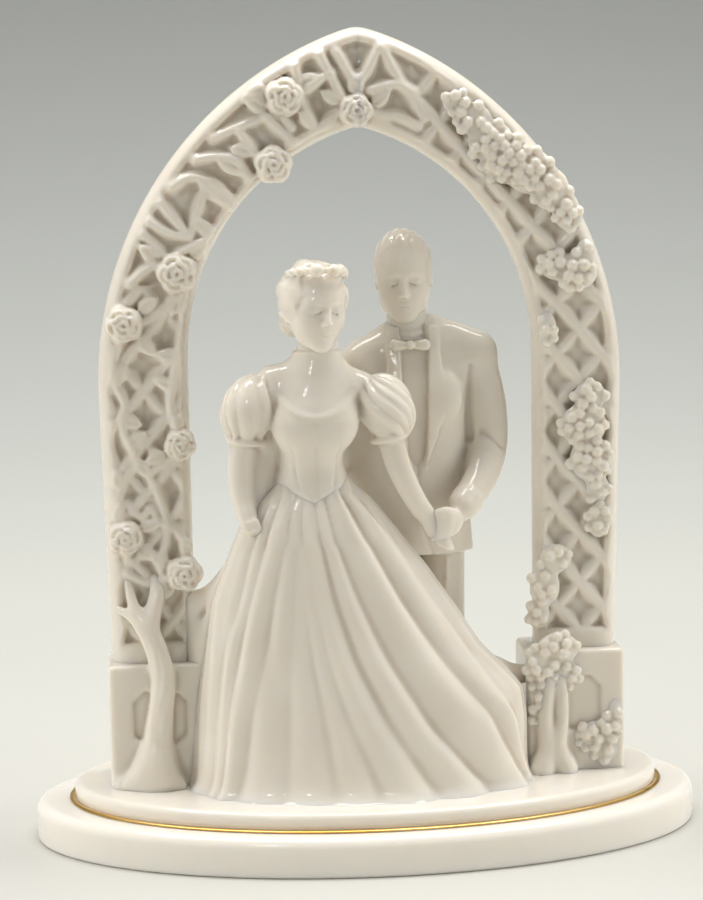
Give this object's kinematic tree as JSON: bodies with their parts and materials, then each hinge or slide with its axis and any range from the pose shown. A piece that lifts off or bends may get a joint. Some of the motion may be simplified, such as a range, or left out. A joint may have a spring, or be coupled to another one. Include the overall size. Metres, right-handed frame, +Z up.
{
  "type": "wedding cake topper",
  "caption": "White glazed porcelain wedding cake topper: a couple standing under a pointed lattice arch with roses and blossom, on an oval stand with a gilt line.",
  "frame": {"origin": "on the ground under the middle of the oval stand", "axes": "+Z up; the couple faces -Y; +X to the viewer's right along the stand's long axis"},
  "size_m": [0.164, 0.091, 0.1965],
  "materials": {
    "porcelain": "clear gloss glaze over warm white porcelain",
    "gilding": "burnished brush-laid gilding"
  },
  "bodies": {
    "root": {"blossom_cluster_1": "porcelain", "blossom_cluster_2": "porcelain", "blossom_cluster_3": "porcelain", "blossom_cluster_4": "porcelain", "blossom_cluster_5": "porcelain", "bride_bodice": "porcelain", "bride_bust": "porcelain", "bride_hair": "porcelain", "bride_head": "porcelain", "bride_left_arm": "porcelain", "bride_left_puff": "porcelain", "bride_right_arm": "porcelain", "bride_right_puff": "porcelain", "bride_skirt": "porcelain", "bride_wreath": "porcelain", "bush": "porcelain", "bush_stems": "porcelain", "gilt_line": "gilding", "groom_bow_tie": "porcelain", "groom_hair": "porcelain", "groom_hand": "porcelain", "groom_head": "porcelain", "groom_jacket": "porcelain", "groom_left_lapel": "porcelain", "groom_left_sleeve": "porcelain", "groom_neck": "porcelain", "groom_right_lapel": "porcelain", "groom_right_sleeve": "porcelain", "groom_shirt_front": "porcelain", "groom_trousers": "porcelain", "inner_rim_bud": "porcelain", "leaf_clump": "porcelain", "left_arc": "porcelain", "left_arc_lattice": "porcelain", "left_pedestal": "porcelain", "left_pier": "porcelain", "left_pier_lattice": "porcelain", "plinth": "porcelain", "right_arc": "porcelain", "right_arc_lattice": "porcelain", "right_pedestal": "porcelain", "right_pier": "porcelain", "right_pier_lattice": "porcelain", "rose_1": "porcelain", "rose_2": "porcelain", "rose_3": "porcelain", "rose_4": "porcelain", "rose_5": "porcelain", "rose_6": "porcelain", "rose_7": "porcelain", "rose_8": "porcelain", "rose_stem_crown": "porcelain", "rose_stem_left": "porcelain", "rose_stem_right": "porcelain", "rose_trunk": "porcelain", "stand": "porcelain"}
  },
  "joints": []
}
